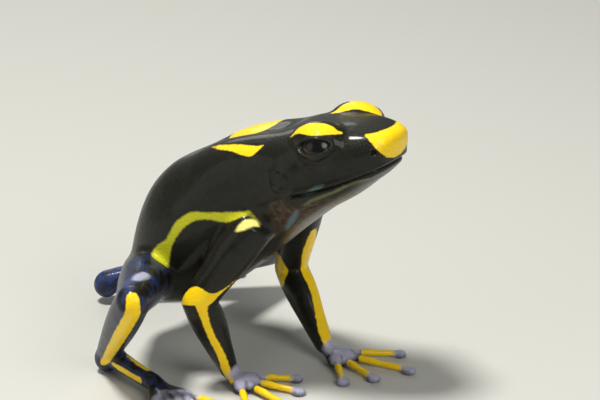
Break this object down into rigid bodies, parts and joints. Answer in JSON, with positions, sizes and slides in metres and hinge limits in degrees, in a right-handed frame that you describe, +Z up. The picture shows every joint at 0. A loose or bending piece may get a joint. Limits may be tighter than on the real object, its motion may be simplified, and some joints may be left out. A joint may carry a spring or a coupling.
{
  "type": "dyeing poison dart frog",
  "caption": "Still, life-size dyeing poison dart frog sitting up on straight forelegs, glossy black with yellow bands and patches and blue on the hind legs.",
  "frame": {"origin": "middle of the bounding box's base, on the floor that the feet rest on", "axes": "+X is the way the frog faces, +Y is its left side, +Z is up"},
  "size_m": [0.0498, 0.0572, 0.0345],
  "materials": {
    "black_skin": "moist, very fine-grained black skin with a soft gloss",
    "yellow_skin": "warm yellow bands and patches in the same moist skin",
    "blue_skin": "dark blue patches in the same moist skin, on the hind legs",
    "eye": "wet, near-black eye"
  },
  "bodies": {
    "root": {"upper_arm_left": "black_skin", "forearm_left": "yellow_skin", "finger_1_left": "yellow_skin", "finger_2_left": "yellow_skin", "finger_3_left": "yellow_skin", "finger_4_left": "yellow_skin", "hand_left": "black_skin", "thigh_left": "blue_skin", "shank_left": "blue_skin", "tarsus_left": "blue_skin", "toe_1_left": "yellow_skin", "toe_2_left": "yellow_skin", "toe_3_left": "yellow_skin", "toe_4_left": "yellow_skin", "toe_5_left": "yellow_skin", "foot_left": "blue_skin", "eye_left": "eye", "eardrum_left": "black_skin", "upper_arm_right": "black_skin", "forearm_right": "yellow_skin", "finger_1_right": "yellow_skin", "finger_2_right": "yellow_skin", "finger_3_right": "yellow_skin", "finger_4_right": "yellow_skin", "hand_right": "black_skin", "thigh_right": "blue_skin", "shank_right": "blue_skin", "tarsus_right": "blue_skin", "toe_1_right": "yellow_skin", "toe_2_right": "yellow_skin", "toe_3_right": "yellow_skin", "toe_4_right": "yellow_skin", "toe_5_right": "yellow_skin", "foot_right": "blue_skin", "eye_right": "eye", "eardrum_right": "black_skin", "lower_jaw": "black_skin", "head": "yellow_skin", "torso": "black_skin", "rump": "black_skin"}
  },
  "joints": []
}
